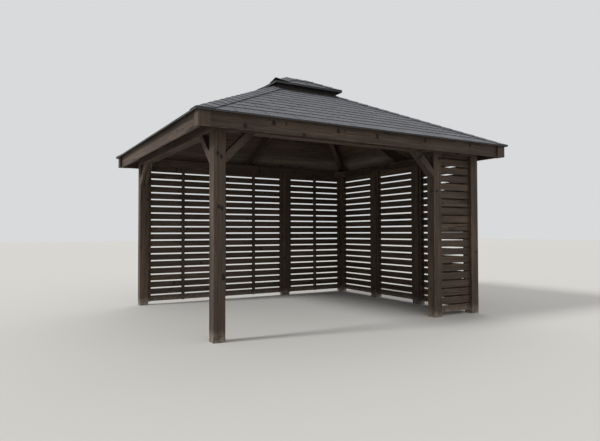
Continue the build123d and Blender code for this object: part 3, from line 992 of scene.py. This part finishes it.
class GAZEBO_OT_shingles(bpy.types.Operator):
    """Felt shingles in courses on the four slopes, and the drip edge under them"""

    bl_idname = "gazebo.shingles"
    bl_label = "Shingles"

    def execute(self, context):
        roof = context.scene.gazebo_roof
        slopes = roof_slopes("shingles_right", "shingles_back")
        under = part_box("shingles_front")[0].z
        depth = (slopes["front"].origin.z - under) * RUN_SHARE
        for side, slope in slopes.items():
            node = "shingles_" + side
            piece = Piece(node + "_courses")
            lay_shingles(piece, slope, depth, roof.first_course)
            piece.finish(["granules", "felt"], [node])
        make_drip_edge("eaves_drip_edge", slopes, under, 0.068, roof.lip)
        return {"FINISHED"}


class GAZEBO_OT_hip_shingles(bpy.types.Operator):
    """Folded shingles over the four hips"""

    bl_idname = "gazebo.hip_shingles"
    bl_label = "Hip shingles"

    def execute(self, context):
        slopes = roof_slopes("shingles_right", "shingles_back")
        neck = (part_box("neck_end_boards")[1].x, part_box("neck_long_boards")[1].y)
        piece = Piece("hip_strips_folded")
        past_neck = 0.12
        reach = (slopes["right"].origin.x - neck[0]) * HIP_LENGTH + past_neck
        stop = min(reach, slopes["front"].run * HIP_LENGTH)
        for pair in HIPS:
            lay_folded(piece, hip_fold(slopes, pair), stop, outside=neck)
        piece.finish(["granules", "felt"], ["hip_strips"])
        return {"FINISHED"}


class GAZEBO_OT_cap(bpy.types.Operator):
    """Raised cap: neck boards, roof boards, shingles, folded shingles and its drip edge"""

    bl_idname = "gazebo.cap"
    bl_label = "Raised cap"

    def execute(self, context):
        roof = context.scene.gazebo_roof
        # The neck boards and the cap boards take the timber darkened to a fifth, which is painted shade
        dress_timbers("neck_long_boards", (1, 0, 0), "cap timber")
        dress_timbers("neck_end_boards", (0, 1, 0), "cap timber")
        piece = Piece("cap_boards_boards")
        slopes, inset, thickness = board_slopes("cap_shingles", "cap_shingles", "cap_boards")
        for slope in slopes.values():
            lay_boards(piece, slope, inset, thickness)
        piece.finish(["cap timber"], ["cap_boards"])

        slopes = roof_slopes("cap_shingles", "cap_shingles")
        edge = slopes["front"].origin.z
        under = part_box("cap_shingles")[0].z
        piece = Piece("cap_shingles_courses")
        for slope in slopes.values():
            lay_shingles(piece, slope, (edge - under) * RUN_SHARE, roof.exposure)
        piece.finish(["granules", "felt"], ["cap_shingles"])

        piece = Piece("cap_strips_folded")
        run = slopes["front"].run
        for pair in HIPS:
            curl = roof.curl if pair == ("front", "left") else 0.0
            lay_folded(piece, hip_fold(slopes, pair), run * HIP_LENGTH, curl=curl)
        half = slopes["front"].half_width - run
        corner = Vector((-half, 0, edge + RISE * run + 0.002))
        fold = Fold(corner, Vector((1, 0, 0)), [slopes["front"], slopes["back"]])
        lay_folded(piece, fold, 2 * half, at_eaves=False)
        piece.finish(["granules", "felt"], ["cap_strips"])
        make_drip_edge("cap_drip_edge", slopes, under, 0.05, roof.cap_lip)
        return {"FINISHED"}


class GAZEBO_OT_stage(bpy.types.Operator):
    """Floor, soft lamps and the camera"""

    bl_idname = "gazebo.stage"
    bl_label = "Stage"

    def execute(self, context):
        scene = context.scene
        stage = scene.gazebo_stage
        material = new_material("painted_studio_floor", 0.9, stage.floor)[0]
        mesh = bpy.data.meshes.new("studio_floor")
        half = 60
        corners = [(-half, -half, 0), (half, -half, 0), (half, half, 0), (-half, half, 0)]
        mesh.from_pydata(corners, [], [(0, 1, 2, 3)])
        mesh.materials.append(material)
        floor = bpy.data.objects.new("studio_floor", mesh)
        scene.collection.objects.link(floor)

        world = bpy.data.worlds.new("studio")
        world.use_nodes = True
        scene.world = world
        world.node_tree.nodes.clear()
        add = functools.partial(add_node, world.node_tree)
        rays = add("LightPath").outputs
        seen = add("Math", (rays["Is Camera Ray"], rays["Is Glossy Ray"]), operation="MAXIMUM")
        soft = add("Background", ((1, 1, 1), 0.5))
        pale = add("Background", (stage.backdrop, 1))
        both = add("MixShader", (seen, soft, pale))
        add("OutputWorld", (both,))

        for name, aim, strength, softness in (
            ("key_lamp", (1.0, -0.1, -0.7), 2.1, 12),
            ("front_lamp", (0.1, 1.0, -0.55), 0.4, 50),
            ("rear_lamp", (-0.6, -0.8, -0.9), 0.5, 50),
        ):
            light = bpy.data.lights.new(name, "SUN")
            light.energy = strength
            light.angle = math.radians(softness)
            lamp = bpy.data.objects.new(name, light)
            lamp.rotation_euler = Vector(aim).to_track_quat("-Z", "Y").to_euler()
            lamp.location = Vector(aim) * -6
            scene.collection.objects.link(lamp)

        camera_data = bpy.data.cameras.new("photo_camera")
        camera_data.sensor_width = 36.0
        camera_data.lens = stage.lens
        camera = bpy.data.objects.new("photo_camera", camera_data)
        heading = Matrix.Rotation(-stage.camera_heading, 4, "Z")
        tilt = Matrix.Rotation(math.pi / 2 + stage.camera_pitch, 4, "X")
        roll = Matrix.Rotation(stage.camera_roll, 4, "Z")
        camera.matrix_world = Matrix.Translation(stage.camera_place) @ heading @ tilt @ roll
        scene.collection.objects.link(camera)
        scene.camera = camera
        scene.view_settings.view_transform = "Standard"
        return {"FINISHED"}


SETTINGS = {
    "gazebo_timber": TimberSettings,
    "gazebo_panels": PanelSettings,
    "gazebo_roof": RoofSettings,
    "gazebo_stage": StageSettings,
}
OPERATORS = (
    GAZEBO_OT_stage,
    GAZEBO_OT_posts,
    GAZEBO_OT_plates,
    GAZEBO_OT_braces,
    GAZEBO_OT_panels,
    GAZEBO_OT_roof_frame,
    GAZEBO_OT_roof_boards,
    GAZEBO_OT_eaves,
    GAZEBO_OT_shingles,
    GAZEBO_OT_hip_shingles,
    GAZEBO_OT_cap,
)


class GAZEBO_PT_build(bpy.types.Panel):
    """Buttons that build each piece, and the sizes and colours they use"""

    bl_idname = "GAZEBO_PT_build"
    bl_label = "Garden gazebo"
    bl_space_type = "VIEW_3D"
    bl_region_type = "UI"
    bl_category = "Gazebo"

    def draw(self, context):
        for operator in OPERATORS:
            self.layout.operator(operator.bl_idname)
        for name in SETTINGS:
            group = getattr(context.scene, name)
            box = self.layout.box()
            for key in group.__annotations__:
                box.prop(group, key)


def register():
    for name, group in SETTINGS.items():
        bpy.utils.register_class(group)
        setattr(bpy.types.Scene, name, PointerProperty(type=group))
    for operator in OPERATORS:
        bpy.utils.register_class(operator)
    bpy.utils.register_class(GAZEBO_PT_build)


def unregister():
    bpy.utils.unregister_class(GAZEBO_PT_build)
    for operator in reversed(OPERATORS):
        bpy.utils.unregister_class(operator)
    for name, group in SETTINGS.items():
        delattr(bpy.types.Scene, name)
        bpy.utils.unregister_class(group)


def main():
    register()
    for operator in OPERATORS:
        family, name = operator.bl_idname.split(".")
        getattr(getattr(bpy.ops, family), name)()


if __name__ == "__main__":
    main()
